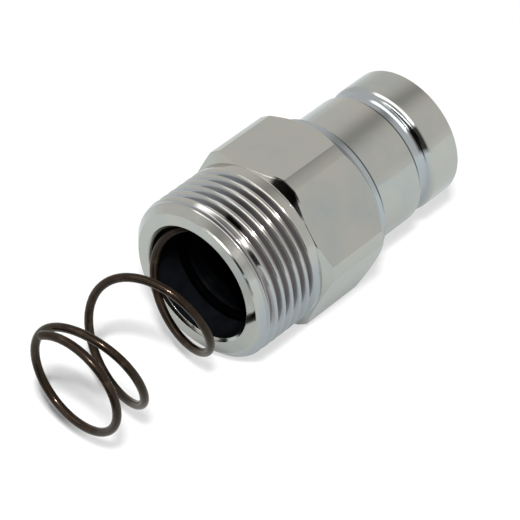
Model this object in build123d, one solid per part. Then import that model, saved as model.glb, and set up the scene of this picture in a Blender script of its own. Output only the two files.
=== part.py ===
from build123d import *
import math
import os

# Male flat face coupler, millimetres. The axis is X: nose toward +X, threaded end toward -X.
# X = 0 is the thread shoulder, where the hexagon begins. Two flats of the hexagon face up and down.

# Body, outside
nose_d = 27.0
nose_land = 6.6
nose_edge = 0.35
groove_depth = 1.8
groove_floor = 1.8
groove_width = 4.7
shank_rise = 0.15
shank_edge = 0.3
thread_d = 33.0
thread_length = 15.8
lead_chamfer = 1.85
hex_flat_rise = 0.15
hex_land_rise = 1.95
hex_rear_angle = 30.0
hex_front_x = 17.9
collar_rise = 1.8
collar_length = 1.6
collar_fillet = 0.9

# Body, inside, from the rear bore to the front port
groove_wall = 2.5
bore_step = 1.1
bore_chamfer = 0.55
bore_end_x = 12.8
valve_bore_step = 1.4
valve_bore_length = 10.0
cavity_length = 14.3
seat_depth = 1.3
port_length = 4.6

# Clearances
sliding = 0.1
seal_gap = 0.05
seat_gap = 0.14
face_recess = 0.1

# Front poppet
poppet_gap = 0.15
flare_gap = 0.3
flare_length = 2.4
stem_d = 5.3
stem_reserve = 1.4
poppet_stroke = 6.0

# O-rings with their backup rings, in the nose and on the check piston
seal_depth = 1.7
seal_slack = 0.15
seal_lip = 0.9
backup_thickness = 0.55

# Guide of the poppet stem, held by a snap ring
guide_thickness = 3.0
guide_rim = 1.75
guide_hub_margin = 0.25
guide_sleeve_wall = 1.45
guide_reserve = 0.6
guide_spoke = 3.0
snap_thickness = 1.2
snap_width = 1.8
snap_groove_depth = 0.6
snap_gap_angle = 50.0

# Spring behind the poppet
poppet_spring_wire = 1.1
poppet_spring_clearance = 0.45
poppet_spring_turns = 4.25
poppet_spring_closed_turns = 1.0

# Check piston in the rear bore
skirt_rear_x = -6.3
skirt_wall = 2.2
skirt_floor = 2.6
flute_width = 4.0
flute_count = 6
flute_length = 6.4
piston_seal_inset = 0.7
piston_seal_lip = 0.7
relief_hub_d = 8.4
relief_hub_x = 1.2
relief_bore_d = 5.2
relief_port_d = 2.2
relief_port_length = 3.4

# Relief ball, its spring and its plug
ball_d = 3.5
relief_wire = 0.5
relief_spring_mean_d = 3.0
relief_spring_turns = 6.0
relief_spring_closed_turns = 1.0
plug_length = 2.8
plug_inset = 0.6
plug_hole_d = 2.0
plug_slot = 0.8

# Spring that stands out of the rear bore
rear_spring_wire = 1.65
rear_spring_length = 43.7
rear_spring_turns = 4.25
rear_spring_closed_turns = 1.08
rear_spring_closed_pitch = 2.6
rear_spring_start_angle = -29.7
rear_spring_droop_angle = 1.6
rear_spring_lean_angle = -46.0

# Diameters that follow from the ones above
groove_d = nose_d - 2 * groove_depth
shank_d = nose_d + 2 * shank_rise
collar_d = shank_d + 2 * collar_rise
hex_af = thread_d + 2 * hex_flat_rise
hex_land_d = thread_d + 2 * hex_land_rise
cavity_d = groove_d - 2 * groove_wall
valve_bore_d = cavity_d + 2 * valve_bore_step
bore_d = valve_bore_d + 2 * bore_step
port_d = cavity_d - 2 * seat_depth
poppet_d = port_d - 2 * poppet_gap
flare_d = cavity_d - 2 * flare_gap
seal_groove_d = port_d + 2 * seal_depth
piston_d = bore_d - 2 * sliding
boss_d = valve_bore_d - 2 * sliding
skirt_inner_d = piston_d - 2 * skirt_wall
piston_seal_groove_d = valve_bore_d - 2 * seal_depth
guide_d = valve_bore_d - sliding
guide_window_d = guide_d - 2 * guide_rim
guide_hole_d = stem_d + 2 * sliding
guide_sleeve_d = guide_hole_d + 2 * guide_sleeve_wall
poppet_spring_mean_d = guide_sleeve_d + poppet_spring_wire + 2 * poppet_spring_clearance
guide_hub_d = poppet_spring_mean_d + poppet_spring_wire + 2 * guide_hub_margin
rear_spring_mean_d = piston_d - skirt_wall

# Places along the axis that follow from the ones above
rear_x = -thread_length
collar_end_x = hex_front_x + collar_length
valve_bore_end_x = bore_end_x + valve_bore_length
cavity_end_x = valve_bore_end_x + cavity_length
port_x = cavity_end_x + seat_depth
face_x = port_x + port_length
groove_front_x = face_x - nose_land
groove_rear_x = groove_front_x - groove_width
seal_groove_width = seal_depth + backup_thickness + seal_slack
seal_groove_x = port_x + seal_lip
piston_seal_groove_x = bore_end_x + piston_seal_inset
boss_end_x = piston_seal_groove_x + seal_groove_width + piston_seal_lip
poppet_face_x = face_x - face_recess
flare_front_x = cavity_end_x + flare_gap - seat_gap * math.sqrt(2)
flare_rear_x = flare_front_x - flare_length
stem_end_x = boss_end_x + poppet_stroke + stem_reserve
guide_front_x = valve_bore_end_x
guide_rear_x = guide_front_x - guide_thickness
guide_sleeve_x = flare_rear_x - poppet_stroke - guide_reserve
skirt_floor_x = bore_end_x - skirt_floor
relief_cone_end_x = boss_end_x - relief_port_length
relief_seat_x = relief_cone_end_x - (relief_bore_d - relief_port_d) / 2
ball_x = relief_seat_x + relief_bore_d / 2 - (ball_d / 2 + seal_gap) * math.sqrt(2)


def turned(*outline):
    """Revolve a closed outline of (x, radius) points about the axis."""
    return revolve(make_face(Polyline(*outline, close=True)), axis=Axis.X)


def rod(x0, x1, diameter):
    """Solid cylinder on the axis from x0 to x1."""
    return turned((x0, 0), (x0, diameter / 2), (x1, diameter / 2), (x1, 0))


def ring(x0, x1, inner_d, outer_d):
    """Plain ring on the axis from x0 to x1."""
    return turned((x0, inner_d / 2), (x0, outer_d / 2), (x1, outer_d / 2), (x1, inner_d / 2))


def seal_ring(x, inner_d, outer_d):
    """O-ring whose section just fills the radial space given."""
    section = (outer_d - inner_d) / 4
    return revolve(Pos(x, (inner_d + outer_d) / 4) * Circle(section), axis=Axis.X)


def spokes(count, x0, x1, width, radius):
    """Radial bars through the axis, one for each of the evenly spaced directions."""
    bar = Box(x1 - x0, width, radius, align=(Align.MIN, Align.CENTER, Align.MIN))
    return [Rot(X=360 * i / count) * Pos(X=x0) * bar for i in range(count)]


def coil(mean_d, wire, turns, closed, closed_pitch, x0, x1, start=0.0):
    """Round wire spring between the planes x0 and x1, with closed coils at both ends."""
    radius = mean_d / 2
    rise = x1 - x0 - wire - closed_pitch * turns
    steps = round(turns * 14)
    points = []
    for i in range(steps + 1):
        turn = turns * i / steps
        share = min(max((turn - closed) / (turns - 2 * closed), 0.0), 1.0)
        angle = math.radians(start) + 2 * math.pi * turn
        x = x0 + wire / 2 + closed_pitch * turn + rise * share
        points.append((x, -radius * math.sin(angle), radius * math.cos(angle)))
    path = Spline(*points)
    return sweep(path.location_at(0) * Circle(wire / 2), path=path)


def hexagon():
    """Hexagon with turned lands on its corners, a rear cone and a front cone."""
    land = hex_land_d / 2
    shoulder = thread_d / 2
    rear = (land - shoulder) * math.tan(math.radians(hex_rear_angle))
    collar = collar_d / 2
    blank = turned(
        (0, 0),
        (0, shoulder),
        (rear, land),
        (hex_front_x - (land - collar), land),
        (hex_front_x, collar),
        (hex_front_x, 0),
    )
    prism = Plane.YZ * RegularPolygon(hex_af / 2, 6, major_radius=False)
    return blank & extrude(prism, hex_front_x)


def shank_and_nose():
    """Collar, shank, locking groove with its S-shaped front side, and front land."""
    collar = collar_d / 2
    shank = shank_d / 2
    floor = groove_d / 2
    nose = nose_d / 2
    floor_end_x = groove_rear_x + groove_floor
    middle = ((floor_end_x + groove_front_x) / 2, (floor + nose) / 2)
    outline = [
        Polyline(
            (hex_front_x, 0),
            (hex_front_x, collar),
            (collar_end_x - nose_edge, collar),
            (collar_end_x, collar - nose_edge),
            (collar_end_x, shank + collar_fillet),
        ),
        RadiusArc(
            (collar_end_x, shank + collar_fillet),
            (collar_end_x + collar_fillet, shank),
            collar_fillet,
        ),
        Polyline(
            (collar_end_x + collar_fillet, shank),
            (groove_rear_x - shank_edge, shank),
            (groove_rear_x, shank - shank_edge),
            (groove_rear_x, floor),
            (floor_end_x, floor),
        ),
        TangentArc((floor_end_x, floor), middle, tangent=(1, 0)),
        TangentArc((groove_front_x, nose), middle, tangent=(-1, 0)),
        Polyline(
            (groove_front_x, nose),
            (face_x - nose_edge, nose),
            (face_x, nose - nose_edge),
            (face_x, 0),
            (hex_front_x, 0),
        ),
    ]
    edges = [edge for part in outline for edge in part.edges()]
    return revolve(make_face(Wire(edges)), axis=Axis.X)


def threaded_end():
    """Thread at its outer diameter, with the lead chamfer."""
    radius = thread_d / 2
    return turned(
        (rear_x, 0),
        (rear_x, radius - lead_chamfer),
        (rear_x + lead_chamfer, radius),
        (0, radius),
        (0, 0),
    )


def body_cavity():
    """Everything bored out of the body, from the rear mouth to the front port."""
    bore = bore_d / 2
    snap_x = guide_rear_x - snap_thickness
    inside = turned(
        (rear_x, 0),
        (rear_x, bore + bore_chamfer),
        (rear_x + bore_chamfer, bore),
        (bore_end_x, bore),
        (bore_end_x, valve_bore_d / 2),
        (valve_bore_end_x, valve_bore_d / 2),
        (valve_bore_end_x, cavity_d / 2),
        (cavity_end_x, cavity_d / 2),
        (port_x, port_d / 2),
        (face_x, port_d / 2),
        (face_x, 0),
    )
    seal_groove = rod(seal_groove_x, seal_groove_x + seal_groove_width, seal_groove_d)
    snap_groove = rod(snap_x - seal_gap, guide_rear_x, valve_bore_d + 2 * snap_groove_depth)
    return inside + seal_groove + snap_groove


def coupler_body():
    return threaded_end() + hexagon() + shank_and_nose() - body_cavity()


def poppet():
    """Flat faced valve with a sealing cone and a guided stem."""
    head = poppet_d / 2
    flare = flare_d / 2
    stem = stem_d / 2
    return turned(
        (stem_end_x, 0),
        (stem_end_x, stem - nose_edge),
        (stem_end_x + nose_edge, stem),
        (flare_rear_x, stem),
        (flare_rear_x, flare),
        (flare_front_x, flare),
        (flare_front_x + flare - head, head),
        (poppet_face_x, head),
        (poppet_face_x, 0),
    )


def poppet_seal():
    """O-ring around the poppet, in the groove of the nose."""
    outer_d = seal_groove_d - 2 * seal_gap
    inner_d = poppet_d + 2 * seal_gap
    x = seal_groove_x + seal_gap + (outer_d - inner_d) / 4
    return seal_ring(x, inner_d, outer_d)


def poppet_backup_ring():
    """Flat ring behind the O-ring, on the side of the coupling face."""
    end_x = seal_groove_x + seal_groove_width
    return ring(end_x - backup_thickness, end_x, poppet_d + 2 * seal_gap, seal_groove_d - 2 * seal_gap)


def valve_guide():
    """Three spoked guide with a sleeve for the poppet stem."""
    rim = ring(guide_rear_x, guide_front_x, guide_window_d, guide_d)
    hub = rod(guide_rear_x, guide_front_x, guide_hub_d)
    sleeve = rod(guide_front_x, guide_sleeve_x, guide_sleeve_d)
    guide = rim + hub + sleeve
    for spoke in spokes(3, guide_rear_x, guide_front_x, guide_spoke, (guide_window_d + guide_d) / 4):
        guide += spoke
    return guide - rod(guide_rear_x, guide_sleeve_x, guide_hole_d)


def guide_snap_ring():
    """Open ring that keeps the guide against its shoulder."""
    outer_d = valve_bore_d + 2 * (snap_groove_depth - sliding)
    full = ring(guide_rear_x - snap_thickness, guide_rear_x, outer_d - 2 * snap_width, outer_d)
    half = math.radians(snap_gap_angle / 2)
    corner = (-outer_d * math.sin(half), outer_d * math.cos(half))
    wedge = Plane.YZ * make_face(Polyline((0, 0), corner, (-corner[0], corner[1]), close=True))
    return full - extrude(wedge, 2 * valve_bore_end_x, both=True)


def poppet_spring():
    return coil(
        poppet_spring_mean_d,
        poppet_spring_wire,
        poppet_spring_turns,
        poppet_spring_closed_turns,
        poppet_spring_wire * 1.05,
        guide_front_x,
        flare_rear_x,
    )


def check_piston():
    """Sliding check piston: hollow fluted skirt, sealing boss and a hub for the relief ball."""
    skirt = piston_d / 2
    hollow = skirt_inner_d / 2
    boss = boss_d / 2
    outside = turned(
        (skirt_rear_x, hollow),
        (skirt_rear_x, skirt - nose_edge),
        (skirt_rear_x + nose_edge, skirt),
        (bore_end_x, skirt),
        (bore_end_x, boss),
        (boss_end_x - nose_edge, boss),
        (boss_end_x, boss - nose_edge),
        (boss_end_x, 0),
        (skirt_floor_x, 0),
        (skirt_floor_x, hollow),
    )
    piston = outside + rod(relief_hub_x, boss_end_x - nose_edge, relief_hub_d)
    groove_end_x = piston_seal_groove_x + seal_groove_width
    piston -= ring(piston_seal_groove_x, groove_end_x, piston_seal_groove_d, bore_d)
    flute_x = bore_end_x - flute_length
    for flute in spokes(flute_count, flute_x, bore_end_x, flute_width, skirt + sliding):
        piston -= flute & ring(flute_x, bore_end_x, skirt_inner_d - 2 * sliding, bore_d + 2 * sliding)
    return piston - relief_bore()


def relief_bore():
    """Stepped hole through the hub, with the seat of the ball."""
    wide = relief_bore_d / 2
    narrow = relief_port_d / 2
    return turned(
        (relief_hub_x, 0),
        (relief_hub_x, wide),
        (relief_seat_x, wide),
        (relief_cone_end_x, narrow),
        (boss_end_x, narrow),
        (boss_end_x, 0),
    )


def piston_seal():
    """O-ring of the check piston."""
    outer_d = valve_bore_d - 2 * seal_gap
    inner_d = piston_seal_groove_d + 2 * seal_gap
    end_x = piston_seal_groove_x + seal_groove_width
    return seal_ring(end_x - seal_gap - (outer_d - inner_d) / 4, inner_d, outer_d)


def piston_backup_ring():
    """Flat ring behind the O-ring of the check piston."""
    end_x = piston_seal_groove_x + backup_thickness
    inner_d = piston_seal_groove_d + 2 * seal_gap
    return ring(piston_seal_groove_x, end_x, inner_d, valve_bore_d - 2 * seal_gap)


def relief_ball():
    return Pos(X=ball_x) * Sphere(ball_d / 2)


def relief_spring():
    """Small spring between the plug and the ball."""
    reach = (ball_d + relief_wire) / 2
    contact = math.sqrt(reach**2 - (relief_spring_mean_d / 2) ** 2)
    return coil(
        relief_spring_mean_d,
        relief_wire,
        relief_spring_turns,
        relief_spring_closed_turns,
        relief_wire * 1.05,
        relief_hub_x + plug_inset + plug_length,
        ball_x - contact + relief_wire / 2 - seal_gap,
    )


def relief_plug():
    """Slotted plug with a vent hole."""
    x0 = relief_hub_x + plug_inset
    x1 = x0 + plug_length
    slot = Pos(X=x0) * Box(2 * plug_slot, relief_bore_d, plug_slot)
    return ring(x0, x1, plug_hole_d, relief_bore_d - seal_gap) - slot


def rear_spring():
    """Spring seated on the skirt of the check piston, drooping a little out of the threaded end."""
    straight = coil(
        rear_spring_mean_d,
        rear_spring_wire,
        rear_spring_turns,
        rear_spring_closed_turns,
        rear_spring_closed_pitch,
        -rear_spring_length,
        0,
        rear_spring_start_angle - rear_spring_lean_angle,
    )
    lift = rear_spring_mean_d / 2 * math.sin(math.radians(rear_spring_droop_angle))
    drooped = Rot(Y=-rear_spring_droop_angle) * straight
    return Pos(X=skirt_rear_x - lift) * Rot(X=rear_spring_lean_angle) * drooped


pieces = [
    coupler_body,
    poppet,
    poppet_seal,
    poppet_backup_ring,
    valve_guide,
    guide_snap_ring,
    poppet_spring,
    check_piston,
    piston_seal,
    piston_backup_ring,
    relief_ball,
    relief_spring,
    relief_plug,
    rear_spring,
]

os.makedirs("parts", exist_ok=True)
for piece in pieces:
    export_step(piece(), f"parts/{piece.__name__}.step")
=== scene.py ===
import math

import bpy
import numpy as np
from mathutils import Matrix, Vector

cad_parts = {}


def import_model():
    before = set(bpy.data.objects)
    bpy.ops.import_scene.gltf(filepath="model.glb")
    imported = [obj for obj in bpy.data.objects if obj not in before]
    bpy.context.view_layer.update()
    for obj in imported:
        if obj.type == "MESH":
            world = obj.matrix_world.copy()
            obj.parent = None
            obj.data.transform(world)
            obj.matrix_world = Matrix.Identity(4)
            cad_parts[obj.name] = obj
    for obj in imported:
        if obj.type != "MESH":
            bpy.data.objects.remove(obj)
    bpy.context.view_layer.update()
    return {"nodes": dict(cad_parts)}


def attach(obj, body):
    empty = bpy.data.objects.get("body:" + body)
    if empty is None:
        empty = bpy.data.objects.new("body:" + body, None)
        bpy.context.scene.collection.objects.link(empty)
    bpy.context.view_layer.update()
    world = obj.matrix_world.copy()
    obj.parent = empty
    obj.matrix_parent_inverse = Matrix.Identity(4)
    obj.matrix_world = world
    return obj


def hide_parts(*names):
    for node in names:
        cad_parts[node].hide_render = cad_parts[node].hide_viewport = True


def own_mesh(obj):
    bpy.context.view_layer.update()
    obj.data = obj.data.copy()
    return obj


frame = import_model()

MM = 0.001

# Sizes of the body, the same as in the CAD source, in millimetres.
REAR_X = -15.8
FACE_X = 43.0
NOSE_R = 13.5
NOSE_EDGE = 0.35
GROOVE_R = 11.7
GROOVE_FRONT_X = 36.4
GROOVE_FLAT_X = 33.5
GROOVE_REAR_X = 31.7
SHANK_R = 13.65
SHANK_EDGE = 0.3
THREAD_R = 16.5
LEAD_CHAMFER = 1.85
HEX_FLAT_R = 16.65
HEX_LAND_R = 18.45
HEX_FRONT_X = 17.9
COLLAR_R = 15.45
COLLAR_END_X = 19.5
COLLAR_FILLET = 0.9
PORT_R = 7.9
PORT_X = 38.4
SEAL_GROOVE = (39.3, 41.7, 9.6)
CAVITY_R = 9.2
CAVITY_END_X = 37.1
VALVE_BORE_R = 10.6
VALVE_BORE_END_X = 22.8
SNAP_GROOVE = (18.55, 19.8, 11.2)
BORE_R = 11.7
BORE_CHAMFER = 0.55
BORE_END_X = 12.8

# Shapes of the hexagon's edges: the rear chamfer in degrees, the rounding where flats meet the land.
HEX_CHAMFER = 30.0
LAND_EASE = 0.05
HEX_MESH_END_X = HEX_FRONT_X + 0.75

# Thread of the rear end. The flank is in shares of the pitch, from the middle of the root.
PITCH = 2.117
THREAD_DEPTH = 1.3
ROOT_X = -13.51
ROOT_ANGLE = 38.0
THREAD_START_X = REAR_X + 0.3
THREAD_END_X = -0.1
LEAD_IN = (-14.5, -12.8)
RUNOUT = (-2.6, -1.7)
END_FADE = (-0.6, -0.15)
CREST_EDGE = 0.4375
FLANK_WIDTH = 0.3543
CORNER_EASE = 0.09
CHAMFER_EASE = 0.3
RIM_FACET = (14.58, 0.246, 14.896)
FLOOR_Z = -16.65


# Mesh helpers.


def new_object(name, verts, faces, materials=(), face_material=None):
    """Mesh object from points in millimetres, smooth shaded, normals outward."""
    mesh = bpy.data.meshes.new(name)
    mesh.from_pydata((np.asarray(verts, float) * MM).tolist(), [], faces)
    for m in materials:
        mesh.materials.append(m)
    if face_material is not None:
        mesh.polygons.foreach_set("material_index", np.asarray(face_material, np.int32))
    mesh.polygons.foreach_set("use_smooth", np.ones(len(mesh.polygons), bool))
    mesh.update()
    mesh.validate()
    obj = bpy.data.objects.new(name, mesh)
    bpy.context.scene.collection.objects.link(obj)
    return obj


def rounded(points, steps=3):
    """Open (x, r, radius) outline with its corners rounded and a support point beside each.

    A corner of radius 0 stays as it is, and a fourth value gives a corner its own steps.
    """
    out = [points[0][:2]]
    for before, here, after in zip(points, points[1:], points[2:]):
        if here[2] == 0:
            out.append(here[:2])
            continue
        count = here[3] if len(here) > 3 else steps
        p = np.array(here[:2])
        to_before, to_after = np.array(before[:2]) - p, np.array(after[:2]) - p
        length_before, length_after = np.linalg.norm(to_before), np.linalg.norm(to_after)
        to_before, to_after = to_before / length_before, to_after / length_after
        radius = here[2]
        half = 0.5 * math.acos(max(-1.0, min(1.0, float(to_before @ to_after))))
        cut = min(radius / math.tan(half), 0.3 * length_before, 0.3 * length_after)
        support = min(0.6 * cut + 0.03, 0.15 * length_before, 0.15 * length_after)
        start, end = p + to_before * cut, p + to_after * cut
        out.append(tuple(start + to_before * support))
        for i in range(count + 1):
            t = i / count
            out.append(tuple((1 - t) ** 2 * start + 2 * t * (1 - t) * p + t * t * end))
        out.append(tuple(end + to_after * support))
    out.append(points[-1][:2])
    return out


def arc_points(start, end, tangent, count):
    """Points of the arc that leaves start along tangent and reaches end, without start."""
    s, e, d = np.array(start), np.array(end), np.array(tangent, float)
    chord = e - s
    normal = np.array([-d[1], d[0]])
    radius = (chord @ chord) / (2 * (chord @ normal))
    centre = s + normal * radius
    a0 = math.atan2(*(s - centre)[::-1])
    a1 = math.atan2(*(e - centre)[::-1])
    turn = (a1 - a0 + math.pi) % (2 * math.pi) - math.pi
    size = abs(radius)
    angles = [a0 + turn * i / count for i in range(1, count + 1)]
    return [(centre[0] + size * math.cos(a), centre[1] + size * math.sin(a)) for a in angles]


def smooth_min(a, b, width):
    h = max(width - abs(a - b), 0.0) / width
    return min(a, b) - h * h * width * 0.25


def smooth_step(edge0, edge1, x):
    t = min(max((x - edge0) / (edge1 - edge0), 0.0), 1.0)
    return t * t * (3 - 2 * t)


def soft_clamp(t, ease):
    """t held between 0 and 1, with eased corners."""
    if t <= -ease:
        return 0.0
    if t < ease:
        return (t + ease) ** 2 / (4 * ease)
    if t <= 1 - ease:
        return t
    if t < 1 + ease:
        return 1 - (1 + ease - t) ** 2 / (4 * ease)
    return 1.0


# Body mesh.

CORNER = math.degrees(math.acos(HEX_FLAT_R / HEX_LAND_R))
SECTOR = (
    [-30, -28.5, -27, -CORNER - 0.7, -CORNER - 0.3, -CORNER, -CORNER + 0.3, -CORNER + 0.8, -24]
    + [-22.5 + 1.5 * i for i in range(31)]
    + [24, CORNER - 0.8, CORNER - 0.3, CORNER, CORNER + 0.3, CORNER + 0.7, 27, 28.5]
)
ANGLES = [60 * k + a for k in range(6) for a in SECTOR]
HALF_PHASE = [0.08, 0.12, 0.2, 0.3, 0.39, 0.42, 0.455]
ROW_PHASE = [-0.5, *[-p for p in reversed(HALF_PHASE)], 0, *HALF_PHASE]


def at(x, r, angle):
    a = math.radians(angle)
    return (x, -r * math.sin(a), r * math.cos(a))


def thread_radius(x, angle):
    """Radius of the threaded end at x, for that angle, with the lead chamfer and the run-out."""
    g = (x - ROOT_X) / PITCH - (angle - ROOT_ANGLE) / 360
    u = g - round(g)
    root_x = x - u * PITCH
    fade = (1 - smooth_step(*RUNOUT, root_x)) * (1 - smooth_step(*END_FADE, x))
    fade *= smooth_step(*LEAD_IN, root_x)
    cut = soft_clamp((CREST_EDGE - abs(u)) / FLANK_WIDTH, CORNER_EASE)
    radius = THREAD_R - THREAD_DEPTH * cut * fade
    chamfer = THREAD_R - LEAD_CHAMFER + (x - REAR_X)
    return smooth_min(radius, chamfer, CHAMFER_EASE)


def hexagon_outline(angle):
    """Outline of the hexagon for one angle, from the end of the thread to the collar."""
    off = (angle + 30) % 60 - 30
    flat = HEX_FLAT_R / math.cos(math.radians(off))
    r = smooth_min(flat, HEX_LAND_R, LAND_EASE)
    rear_x = (r - THREAD_R) * math.tan(math.radians(HEX_CHAMFER))
    front_x = HEX_FRONT_X - (r - COLLAR_R)
    return rounded(
        [
            (THREAD_END_X, THREAD_R, 0),
            (0.0, THREAD_R, 0.12),
            (rear_x, r, 0.14),
            (front_x, r, 0.2),
            (HEX_FRONT_X, COLLAR_R, 0.2),
            (HEX_MESH_END_X, COLLAR_R, 0),
        ]
    )


def turned_outline():
    """Outline from the collar over the nose and back through the inside to the thread."""
    edge = 0.08
    fillet = arc_points(
        (COLLAR_END_X, SHANK_R + COLLAR_FILLET), (COLLAR_END_X + COLLAR_FILLET, SHANK_R), (0, -1), 6
    )
    middle = ((GROOVE_FLAT_X + GROOVE_FRONT_X) / 2, (GROOVE_R + NOSE_R) / 2)
    cove = arc_points((GROOVE_FLAT_X, GROOVE_R), middle, (1, 0), 8)
    crown = arc_points((GROOVE_FRONT_X, NOSE_R), middle, (-1, 0), 8)
    points = [
        (HEX_MESH_END_X, COLLAR_R, 0),
        (COLLAR_END_X - NOSE_EDGE, COLLAR_R, edge),
        (COLLAR_END_X, COLLAR_R - NOSE_EDGE, edge),
        (COLLAR_END_X, SHANK_R + COLLAR_FILLET, 0),
        *[(x, r, 0) for x, r in fillet],
        (GROOVE_REAR_X - SHANK_EDGE, SHANK_R, edge),
        (GROOVE_REAR_X, SHANK_R - SHANK_EDGE, edge),
        (GROOVE_REAR_X, GROOVE_R, 0.25),
        (GROOVE_FLAT_X, GROOVE_R, 0),
        *[(x, r, 0) for x, r in cove],
        *[(x, r, 0) for x, r in reversed(crown[:-1])],
        (GROOVE_FRONT_X, NOSE_R, 0),
        (FACE_X - NOSE_EDGE, NOSE_R, edge),
        (FACE_X, NOSE_R - NOSE_EDGE, edge),
        (FACE_X, PORT_R, 0.1),
        (SEAL_GROOVE[1], PORT_R, 0.1, 1),
        (SEAL_GROOVE[1], SEAL_GROOVE[2], 0.1, 1),
        (SEAL_GROOVE[0], SEAL_GROOVE[2], 0.1, 1),
        (SEAL_GROOVE[0], PORT_R, 0.1, 1),
        (PORT_X, PORT_R, 0.1, 1),
        (CAVITY_END_X, CAVITY_R, 0.1, 1),
        (VALVE_BORE_END_X, CAVITY_R, 0.1, 1),
        (VALVE_BORE_END_X, VALVE_BORE_R, 0.1, 1),
        (SNAP_GROOVE[1], VALVE_BORE_R, 0.1, 1),
        (SNAP_GROOVE[1], SNAP_GROOVE[2], 0.1, 1),
        (SNAP_GROOVE[0], SNAP_GROOVE[2], 0.1, 1),
        (SNAP_GROOVE[0], VALVE_BORE_R, 0.1, 1),
        (BORE_END_X, VALVE_BORE_R, 0.1, 1),
        (BORE_END_X, BORE_R, 0.1, 1),
        (REAR_X + BORE_CHAMFER, BORE_R, 0.08),
        (REAR_X, BORE_R + BORE_CHAMFER, 0.12),
        (REAR_X, RIM_FACET[0], 0.03, 1),
        (REAR_X + RIM_FACET[1], RIM_FACET[2], 0.03, 1),
        (THREAD_START_X, thread_radius(THREAD_START_X, 0), 0),
    ]
    return rounded(points)


def body_mesh():
    """Closed grid of the whole body: rings of points, with the thread's rows along its helix."""
    columns = len(ANGLES)
    verts, faces, dark = [], [], []

    def ring(points):
        first = len(verts)
        verts.extend(points)
        return [first + i for i in range(columns)]

    def band(a, b, is_dark=False):
        for i in range(columns):
            j = (i + 1) % columns
            faces.append((a[i], a[j], b[j], b[i]))
            dark.append(1 if is_dark else 0)

    hexes = [hexagon_outline(a) for a in ANGLES]
    rings = [ring([at(*outline[k], a) for outline, a in zip(hexes, ANGLES)]) for k in range(len(hexes[0]))]
    turned = turned_outline()
    dark_from = len(rings)
    for x, r in turned[1:]:
        rings.append(ring([at(x, r, a) for a in ANGLES]))
    outline = list(hexes[0]) + list(turned[1:])
    for k in range(len(rings) - 1):
        x, r = outline[k + 1]
        # Faces inside the bore take the black bore finish, which is partly painted shade.
        in_bore = REAR_X + BORE_CHAMFER - 0.05 < x < BORE_END_X + 0.1
        band(rings[k], rings[k + 1], k >= dark_from and r <= BORE_R + 0.01 and in_bore)
    start, end = rings[-1], rings[0]

    rows = [k + phase for k in range(-2, 8) for phase in ROW_PHASE]
    per_turn = len(ROW_PHASE)
    grid = []
    for i, angle in enumerate(ANGLES):
        turn = (angle - ANGLES[0]) / 360
        column = []
        for g in rows:
            x = ROOT_X + PITCH * (g + turn + (ANGLES[0] - ROOT_ANGLE) / 360)
            if x <= THREAD_START_X + 0.01:
                column.append(start[i])
            elif x >= THREAD_END_X - 0.01:
                column.append(end[i])
            else:
                column.append(len(verts))
                verts.append(at(x, thread_radius(x, angle), angle))
        grid.append(column)
    last = len(rows) - 1
    for i in range(columns):
        shift = per_turn if i == columns - 1 else 0
        a, b = grid[i], grid[(i + 1) % columns]
        for j in range(last):
            quad = (a[j], b[min(j + shift, last)], b[min(j + 1 + shift, last)], a[j + 1])
            unique = list(dict.fromkeys(quad))
            if len(unique) > 2:
                faces.append(tuple(unique))
                dark.append(0)
    return verts, faces, dark


def coil_mesh(radius, wire, turns, closed, closed_pitch, x0, x1, start, place=None, around=18, per_turn=64):
    """Round wire spring between the planes x0 and x1, with closed coils and cut ends."""
    rise = x1 - x0 - wire - closed_pitch * turns
    steps = round(turns * per_turn)
    line = []
    for i in range(steps + 1):
        turn = turns * i / steps
        share = soft_clamp((turn - closed) / (turns - 2 * closed), 0.05)
        a = math.radians(start) + 2 * math.pi * turn
        x = x0 + wire / 2 + closed_pitch * turn + rise * share
        line.append((x, -radius * math.sin(a), radius * math.cos(a)))
    line = np.array(line)
    if place is not None:
        line = np.array([tuple(place @ Vector(p)) for p in line])
    tangent = np.gradient(line, axis=0)
    tangent /= np.linalg.norm(tangent, axis=1)[:, None]
    side = np.cross(tangent[0], (1.0, 0.0, 0.0))
    verts, faces = [], []
    rings = []
    for k, (p, t) in enumerate(zip(line, tangent)):
        side = side - t * (side @ t)
        side /= np.linalg.norm(side)
        up = np.cross(t, side)
        scales = [(0.0, 1.0)]
        if k == 0:
            scales = [(0.0, 0.86), (0.07, 0.97), (0.16, 1.0)]
        if k == steps:
            scales = [(-0.16, 1.0), (-0.07, 0.97), (0.0, 0.86)]
        for shift, scale in scales:
            rings.append(len(verts))
            for n in range(around):
                a = 2 * math.pi * n / around
                q = p + t * shift * wire + (side * math.cos(a) + up * math.sin(a)) * wire / 2 * scale
                verts.append(tuple(q))
    for a, b in zip(rings, rings[1:]):
        for n in range(around):
            m = (n + 1) % around
            faces.append((a + n, a + m, b + m, b + n))
    faces.append(tuple(reversed(range(rings[0], rings[0] + around))))
    faces.append(tuple(range(rings[-1], rings[-1] + around)))
    return verts, faces


# Materials.


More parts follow.
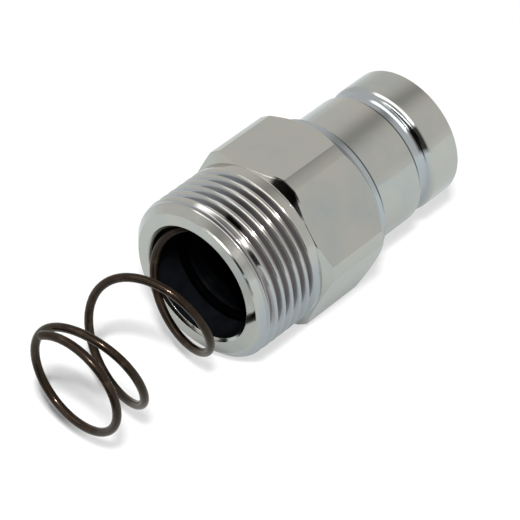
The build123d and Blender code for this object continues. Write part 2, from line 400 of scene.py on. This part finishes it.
class Nodes:
    """Short hand for building a node tree."""

    def __init__(self, name):
        self.material = bpy.data.materials.new(name)
        self.material.use_nodes = True
        self.tree = self.material.node_tree
        self.shader = self.tree.nodes["Principled BSDF"]
        self.out = self.tree.nodes["Material Output"]

    def add(self, kind, inputs=None, **settings):
        node = self.tree.nodes.new(kind)
        for key, value in settings.items():
            setattr(node, key, value)
        for key, value in (inputs or {}).items():
            self.put(node.inputs[key], value)
        return node

    def put(self, socket, value):
        if isinstance(value, bpy.types.NodeSocket):
            self.tree.links.new(value, socket)
        else:
            socket.default_value = value

    def coords(self, scale=(1, 1, 1)):
        coordinate = self.add("ShaderNodeTexCoord").outputs["Object"]
        return self.add("ShaderNodeMapping", {"Vector": coordinate, "Scale": scale}).outputs["Vector"]

    def noise(self, scale, detail=3.0, roughness=0.5, stretch=(1, 1, 1)):
        node = self.add(
            "ShaderNodeTexNoise",
            {"Vector": self.coords(stretch), "Scale": scale, "Detail": detail, "Roughness": roughness},
        )
        return node.outputs["Fac"]

    def ramp(self, fac, stops):
        node = self.add("ShaderNodeValToRGB", {"Fac": fac})
        elements = node.color_ramp.elements
        while len(elements) < len(stops):
            elements.new(0.5)
        for element, (position, colour) in zip(elements, stops):
            element.position = position
            element.color = (*colour, 1)
        return node.outputs["Color"]

    def span(self, value, low, high, out_low, out_high):
        node = self.add(
            "ShaderNodeMapRange",
            {"Value": value, "From Min": low, "From Max": high, "To Min": out_low, "To Max": out_high},
        )
        return node.outputs["Result"]

    def math(self, operation, a, b):
        return self.add("ShaderNodeMath", {0: a, 1: b}, operation=operation).outputs[0]

    def mix(self, fac, a, b):
        """Colour a where fac is 0, colour b where it is 1."""
        node = self.add("ShaderNodeMix", data_type="RGBA")
        for socket, value in zip((node.inputs[0], node.inputs[6], node.inputs[7]), (fac, a, b)):
            self.put(socket, value)
        return node.outputs[2]

    def bump(self, height, distance, strength=1.0, normal=None):
        inputs = {"Height": height, "Distance": distance, "Strength": strength}
        if normal is not None:
            inputs["Normal"] = normal
        return self.add("ShaderNodeBump", inputs).outputs["Normal"]

    def set(self, **values):
        for key, value in values.items():
            self.put(self.shader.inputs[key.replace("_", " ")], value)
        return self.material


def grey(level):
    return (level, level, level)


def plated_steel():
    """Bright zinc plate: cloudy, with turning marks and a brown stain in a thread groove, plus painted
    light: bluish reflection in recesses, shaded thread valleys and roots, a bluer lower side, dark
    reflection lines on edges and dark reflection patches.
    """
    n = Nodes("plated_steel")
    x, y, z = n.add("ShaderNodeSeparateXYZ", {"Vector": n.coords()}).outputs
    radius = n.add("ShaderNodeVectorMath", {0: n.coords((0, 1, 1))}, operation="LENGTH").outputs["Value"]
    angle = n.math("ARCTAN2", n.math("MULTIPLY", y, -1.0), z)

    def zone(*limits):
        """1 where every value lies between its two limits, with soft sides."""
        inside = 1.0
        for value, low, high, soft in limits:
            inside = n.math("MULTIPLY", inside, n.span(value, low - soft, low + soft, 0.0, 1.0))
            inside = n.math("MULTIPLY", inside, n.span(value, high + soft, high - soft, 0.0, 1.0))
        return inside

    tint = n.ramp(
        n.noise(90, 5.0, 0.6),
        [(0.32, (0.545, 0.53, 0.485)), (0.5, (0.52, 0.52, 0.49)), (0.68, (0.465, 0.495, 0.485))],
    )
    # Painted reflection: a bluish tint in the nose groove and the recess by the collar, standing in for
    # reflected bluish light.
    groove = zone((x, 0.0317, 0.0360, 0.0002), (radius, 0.0, 0.0131, 0.0004))
    collar = zone((x, 0.0168, 0.0195, 0.0003), (radius, 0.0, 0.0156, 0.0001))
    tint = n.mix(n.math("ADD", groove, collar), tint, (0.475, 0.505, 0.53, 1))
    # Painted shade: the thread's valleys are darker and bluer than the crests.
    valley_shade = zone((x, -0.0144, -0.0020, 0.0002), (radius, 0.0, 0.01615, 0.00015))
    # Painted reflection: the lower, nearer side of the thread tinted darker and bluer, as the floor is
    # reflected there.
    lower_side_reflection = zone((x, -0.0152, -0.0002, 0.0003), (angle, 1.40, 3.0, 0.12))
    tint = n.mix(n.math("MULTIPLY", lower_side_reflection, 0.7), tint, (0.43, 0.47, 0.51, 1))
    tint = n.mix(valley_shade, tint, (0.44, 0.46, 0.49, 1))
    # Painted shade: darker, brownish valleys on the upper side of the thread.
    upper = n.math("MULTIPLY", n.span(angle, 1.9, 1.65, 0.0, 1.0), n.span(angle, -0.1, 0.2, 0.0, 1.0))
    tint = n.mix(n.math("MULTIPLY", valley_shade, upper), tint, (0.33, 0.31, 0.315, 1))
    # Painted shade: dark lines in the thread roots on the lower side.
    root_shade = zone((x, -0.0140, -0.0020, 0.0002), (radius, 0.0, 0.01545, 0.00012), (angle, 1.60, 2.7, 0.12))
    tint = n.mix(n.math("MULTIPLY", root_shade, 0.6), tint, (0.13, 0.14, 0.155, 1))
    # Painted reflection: dark lines on the collar's front edge and the groove's rear edge, where a dark
    # reflection falls.
    edges = n.math(
        "ADD",
        zone((x, 0.01890, 0.01955, 0.00005), (radius, 0.0149, 0.0160, 0.0001), (angle, 0.35, 1.35, 0.15)),
        zone((x, 0.03115, 0.03175, 0.00005), (radius, 0.0130, 0.0140, 0.0001), (angle, 0.1, 1.45, 0.2)),
    )
    tint = n.mix(edges, tint, (0.08, 0.10, 0.10, 1))
    # Dark patches: a painted dark reflection in the groove's cove, and a real brown stain in a thread groove
    # near the rear.
    stains_and_painted_reflection = n.math(
        "ADD",
        zone((x, 0.0345, 0.0358, 0.0002), (radius, 0.0, 0.0135, 0.0002), (angle, 0.76, 1.18, 0.05)),
        zone((x, -0.0120, -0.0108, 0.0001), (radius, 0.0, 0.0163, 0.0001), (angle, 0.32, 0.56, 0.03)),
    )
    # Painted reflection: a dark patch on the hexagon's rear cone.
    cone = zone((x, 0.00008, 0.0012, 0.00006), (radius, 0.01655, 0.019, 0.0001), (angle, 0.34, 0.70, 0.03))
    stains_and_painted_reflection = n.math("ADD", stains_and_painted_reflection, cone)
    tint = n.mix(stains_and_painted_reflection, tint, (0.045, 0.042, 0.038, 1))
    rough = n.span(n.noise(420, 4.0, 0.6), 0.3, 0.7, 0.08, 0.15)
    lines = n.noise(1.0, 2.0, 0.5, (9000, 120, 120))
    normal = n.bump(n.noise(160, 2.0), 0.00006, 0.5)
    normal = n.bump(lines, 0.000003, 0.5, normal)
    normal = n.bump(n.noise(1500, 2.0), 0.000006, 0.5, normal)
    n.set(Base_Color=tint, Metallic=1.0, Roughness=rough, Normal=normal)
    return n.material


def dark_bore():
    """Black inside of the bore: oiled dark steel, made near black as painted shade of the deep hole."""
    n = Nodes("dark_bore")
    tone = n.ramp(n.noise(300, 3.0), [(0.3, (0.0022, 0.0026, 0.0032)), (0.7, (0.0048, 0.0056, 0.0070))])
    rough = n.span(n.noise(500, 3.0), 0.3, 0.7, 0.22, 0.36)
    turning = n.noise(1.0, 2.0, 0.5, (4000, 200, 200))
    n.set(Base_Color=tone, Roughness=rough, Specular_IOR_Level=0.08, Normal=n.bump(turning, 0.000004))
    return n.material


def metal(name, low, high, rough_low, rough_high, stretch=(4000, 200, 200), metallic=1.0):
    n = Nodes(name)
    tone = n.ramp(n.noise(350, 3.0), [(0.3, low), (0.7, high)])
    rough = n.span(n.noise(700, 3.0), 0.3, 0.7, rough_low, rough_high)
    n.set(
        Base_Color=tone,
        Metallic=metallic,
        Roughness=rough,
        Normal=n.bump(n.noise(1.0, 2.0, 0.5, stretch), 0.000004, 0.6),
    )
    return n.material


def oiled_wire():
    """Oil hardened wire: dark brown skin with rubbed patches, painted black without sheen inside the bore as
    shade.
    """
    n = Nodes("oiled_wire")
    tone = n.ramp(
        n.noise(260, 4.0, 0.6),
        [(0.3, (0.005, 0.0028, 0.0018)), (0.55, (0.010, 0.006, 0.004)), (0.75, (0.040, 0.027, 0.020))],
    )
    # Painted shade: the wire turns black and loses its sheen inside the bore.
    place = n.add("ShaderNodeSeparateXYZ", {"Vector": n.coords()}).outputs["X"]
    inside = n.span(place, -0.0158, -0.0132, 0.0, 1.0)
    tone = n.mix(inside, tone, (0.0006, 0.0006, 0.0006, 1))
    rough = n.span(n.noise(900, 3.0), 0.3, 0.7, 0.11, 0.25)
    normal = n.bump(n.noise(2600, 3.0), 0.00001, 0.5)
    n.set(
        Base_Color=tone,
        Metallic=0.2,
        Roughness=rough,
        Specular_IOR_Level=n.span(inside, 0.0, 1.0, 0.40, 0.0),
        Specular_Tint=(1.0, 0.76, 0.58, 1),
        Normal=normal,
    )
    return n.material


def dull(name, low, high, rough):
    n = Nodes(name)
    tone = n.ramp(n.noise(500, 3.0), [(0.3, low), (0.7, high)])
    n.set(Base_Color=tone, Roughness=rough, Normal=n.bump(n.noise(2500, 2.0), 0.000008, 0.5))
    return n.material


# The object.

plate = plated_steel()
black = dark_bore()
wire_brown = oiled_wire()
bare = metal("bare_steel", grey(0.38), grey(0.50), 0.22, 0.34)
phosphate = metal("dark_steel", grey(0.035), grey(0.06), 0.30, 0.42, metallic=0.5)
bright_wire = metal("spring_steel", grey(0.32), grey(0.44), 0.25, 0.36, (600, 600, 600))
rubber = dull("seal_rubber", grey(0.016), grey(0.026), 0.42)
plastic = dull("backup_plastic", (0.74, 0.73, 0.69), (0.80, 0.79, 0.75), 0.38)

verts, faces, dark = body_mesh()
body = new_object("body_threaded", verts, faces, (plate, black), dark)
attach(body, "body")
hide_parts("coupler_body")

# Rear spring as it lies in the photograph: turned by LEAN and drooping by DROOP, in degrees.
LEAN = -46.0
DROOP = 1.6
START = -29.7
SKIRT_REAR_X = -6.3
SPRING_R = 10.5
lift = SPRING_R * math.sin(math.radians(DROOP))
spring_place = (
    Matrix.Translation((SKIRT_REAR_X - lift, 0, 0))
    @ Matrix.Rotation(math.radians(LEAN), 4, "X")
    @ Matrix.Rotation(math.radians(-DROOP), 4, "Y")
)
rear_coil = coil_mesh(
    radius=SPRING_R,
    wire=1.65,
    turns=4.25,
    closed=1.08,
    closed_pitch=2.6,
    x0=-43.7,
    x1=0.0,
    start=START - LEAN,
    place=spring_place,
)
rear_spring = new_object("rear_spring_wire", *rear_coil, (wire_brown,))
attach(rear_spring, "body")
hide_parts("rear_spring")
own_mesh(rear_spring)

poppet_coil = coil_mesh(
    radius=5.2,
    wire=1.1,
    turns=4.25,
    closed=1.0,
    closed_pitch=1.155,
    x0=VALVE_BORE_END_X,
    x1=34.802,
    start=0.0,
)
poppet_spring = new_object("poppet_spring_wire", *poppet_coil, (bright_wire,))
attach(poppet_spring, "body")
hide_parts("poppet_spring")
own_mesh(poppet_spring)

relief_coil = coil_mesh(
    radius=1.5,
    wire=0.5,
    turns=6.0,
    closed=1.0,
    closed_pitch=0.525,
    x0=4.6,
    x1=10.6315,
    start=0.0,
    around=12,
    per_turn=40,
)
relief_spring = new_object("relief_spring_wire", *relief_coil, (bright_wire,))
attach(relief_spring, "check_piston")
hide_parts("relief_spring")
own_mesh(relief_spring)

FINISHES = {
    "poppet": bare,
    "poppet_seal": rubber,
    "poppet_backup_ring": plastic,
    "valve_guide": phosphate,
    "guide_snap_ring": phosphate,
    "check_piston": black,
    "piston_seal": rubber,
    "piston_backup_ring": plastic,
    "relief_ball": bare,
    "relief_plug": phosphate,
}
for node, material in FINISHES.items():
    mesh = frame["nodes"][node].data
    mesh.materials.clear()
    mesh.materials.append(material)

# Stage.


def floor():
    """Plain white floor under the flat that the hexagon lies on."""
    size, z = 2.0, FLOOR_Z * MM
    mesh = bpy.data.meshes.new("floor")
    corners = [(-size, -size, z), (size, -size, z), (size, size, z), (-size, size, z)]
    mesh.from_pydata(corners, [], [(0, 1, 2, 3)])
    obj = bpy.data.objects.new("floor", mesh)
    bpy.context.scene.collection.objects.link(obj)
    n = Nodes("floor")
    # The camera sees a white floor whose shadows are paler by the body and in front. Reflections see it lit
    # and glowing, with painted contact shade from an ambient occlusion node near the body.
    path = n.add("ShaderNodeLightPath").outputs["Is Camera Ray"]
    contact_shade = n.add("ShaderNodeAmbientOcclusion", {"Distance": 0.06}, samples=8).outputs["AO"]
    contact_shade = n.span(contact_shade, 0.0, 1.0, 0.5, 1.0)
    seen = n.mix(contact_shade, (0, 0, 0, 1), (0.79, 0.83, 0.83, 1))
    n.set(Base_Color=n.mix(path, seen, (0.88, 0.88, 0.88, 1)), Roughness=0.9, Specular_IOR_Level=0.0)
    white = n.add("ShaderNodeEmission", {"Color": n.mix(path, seen, (1, 1, 1, 1)), "Strength": 1.0})
    x, y, _ = n.add("ShaderNodeSeparateXYZ", {"Vector": n.coords()}).outputs
    place = n.math("SUBTRACT", x, n.math("MULTIPLY", y, 0.25))
    pale = n.math("MAXIMUM", n.span(place, -0.023, -0.015, 0.05, 0.62), n.span(y, 0.001, 0.009, 0.62, 0.05))
    share = n.span(path, 0.0, 1.0, 0.7, pale)
    mix = n.add("ShaderNodeMixShader", {0: share, 1: n.shader.outputs[0], 2: white.outputs[0]})
    n.tree.links.new(mix.outputs[0], n.out.inputs["Surface"])
    mesh.materials.append(n.material)


def world():
    """White to the camera. To the object a soft studio: pale, with a dim gap overhead and a dark side."""
    made = bpy.data.worlds.new("studio")
    bpy.context.scene.world = made
    made.use_nodes = True
    tree = made.node_tree
    tree.nodes.clear()

    def node(kind, **settings):
        n = tree.nodes.new(kind)
        for key, value in settings.items():
            setattr(n, key, value)
        return n

    def math_node(operation, a, b=None, clamp=False):
        n = node("ShaderNodeMath", operation=operation, use_clamp=clamp)
        for socket, value in zip(n.inputs, (a, b)):
            if isinstance(value, bpy.types.NodeSocket):
                tree.links.new(value, socket)
            elif value is not None:
                socket.default_value = value
        return n.outputs[0]

    def bell(value, centre, width):
        t = math_node("DIVIDE", math_node("SUBTRACT", value, centre), width)
        return math_node("EXPONENT", math_node("MULTIPLY", math_node("MULTIPLY", t, t), -1.0))

    def rise(value, low, high):
        n = node("ShaderNodeMapRange", interpolation_type="SMOOTHSTEP")
        tree.links.new(value, n.inputs["Value"])
        n.inputs["From Min"].default_value = low
        n.inputs["From Max"].default_value = high
        return n.outputs["Result"]

    direction = node("ShaderNodeTexCoord").outputs["Generated"]
    split = node("ShaderNodeSeparateXYZ")
    tree.links.new(direction, split.inputs[0])
    x, y, z = split.outputs
    behind = math_node("MULTIPLY", x, -1.0)

    def product(*values):
        out = values[0]
        for value in values[1:]:
            out = math_node("MULTIPLY", out, value)
        return out

    def fall(value, low, high):
        return math_node("SUBTRACT", 1.0, rise(value, low, high))

    def add_light(level, amount, *values):
        return math_node("ADD", level, product(amount, *values))

    # A dim gap overhead, a little light below the horizon and a dark side on the left.
    gap = product(bell(y, 0.02, 0.27), rise(z, 0.25, 0.55))
    level = math_node("SUBTRACT", 0.72, product(0.32, gap))
    level = add_light(level, 0.08, fall(z, -0.05, 0.22))
    dark = product(rise(behind, 0.80, 0.88), fall(z, 0.22, 0.28), rise(y, -0.62, -0.45), fall(y, 0.2, 0.42))
    level = product(level, math_node("SUBTRACT", 1.0, product(0.96, dark)))
    # Two bright boxes: one above the object, one low and behind the camera's left.
    overhead = product(rise(behind, 0.06, 0.16), fall(behind, 0.55, 0.68), rise(z, 0.6, 0.68))
    level = add_light(level, 1.7, overhead, rise(y, -0.75, -0.6), fall(y, 0.5, 0.65))
    strip = product(rise(behind, 0.84, 0.88), rise(z, 0.27, 0.31), fall(z, 0.4, 0.45))
    level = add_light(level, 3.0, strip, rise(y, -0.4, -0.3), fall(y, 0.35, 0.5))
    studio = node("ShaderNodeBackground")
    studio.inputs["Color"].default_value = (1.0, 0.995, 0.97, 1)
    tree.links.new(level, studio.inputs["Strength"])
    paths = node("ShaderNodeLightPath").outputs

    def background(strength):
        n = node("ShaderNodeBackground")
        n.inputs["Color"].default_value = (1, 1, 1, 1)
        n.inputs["Strength"].default_value = strength
        return n.outputs[0]

    def choose(fac, a, b):
        n = node("ShaderNodeMixShader")
        for socket, value in zip(n.inputs, (fac, a, b)):
            tree.links.new(value, socket)
        return n.outputs[0]

    lit = choose(paths["Is Glossy Ray"], background(0.2), studio.outputs[0])
    shown = choose(paths["Is Camera Ray"], lit, background(1.0))
    tree.links.new(shown, node("ShaderNodeOutputWorld").inputs["Surface"])


# Directions of the lamps as seen from the object, and how far away they stand, in metres.
KEY = (-0.443, -0.514, 0.734)
SOFT = (-0.386, -0.444, 0.809)
LAMP_DISTANCE = 2.0


def lamp(name, direction, size, watts):
    data = bpy.data.lights.new(name, "AREA")
    data.size = size
    data.energy = watts
    obj = bpy.data.objects.new(name, data)
    bpy.context.scene.collection.objects.link(obj)
    place = Vector(direction).normalized() * LAMP_DISTANCE
    obj.location = place
    obj.rotation_mode = "QUATERNION"
    obj.rotation_quaternion = place.to_track_quat("Z", "Y")
    return obj


def camera():
    """The photograph's camera: its axes and place were fitted to the picture."""
    data = bpy.data.cameras.new("photo")
    data.type = "PERSP"
    data.sensor_width = 36.0
    data.lens = 193.85
    data.clip_start, data.clip_end = 0.01, 10.0
    obj = bpy.data.objects.new("photo", data)
    bpy.context.scene.collection.objects.link(obj)
    right = (0.669986, -0.737602, -0.084039)
    up = (0.495207, 0.359710, 0.790809)
    back = (-0.553072, -0.571447, 0.606267)
    place = (-0.28698, -0.29733, 0.31066)
    rows = [(right[k], up[k], back[k], place[k]) for k in range(3)]
    obj.matrix_world = Matrix([*rows, (0, 0, 0, 1)])
    bpy.context.scene.camera = obj


def flag():
    """Black card left of the object that only reflections see, as a dark side in the metal."""
    z = FLOOR_Z + 0.2
    outline = [(-65, -42), (-400, -200), (-400, 60), (-65, 0)]
    card = new_object("flag", [(x, y, z) for x, y in outline], [tuple(range(len(outline)))])
    n = Nodes("flag")
    felt = n.set(Base_Color=(0.03, 0.03, 0.03, 1), Roughness=0.8, Specular_IOR_Level=0.0)
    card.data.materials.append(felt)
    card.visible_camera = card.visible_diffuse = card.visible_shadow = False


floor()
flag()
world()
lamp("key", KEY, size=0.08, watts=7.0)
soft = lamp("soft", SOFT, size=0.24, watts=46.0)
soft.visible_glossy = False
glint = lamp("glint", KEY, size=0.06, watts=24.0)
glint.visible_diffuse = False
camera()
bpy.context.scene.view_settings.view_transform = "Standard"
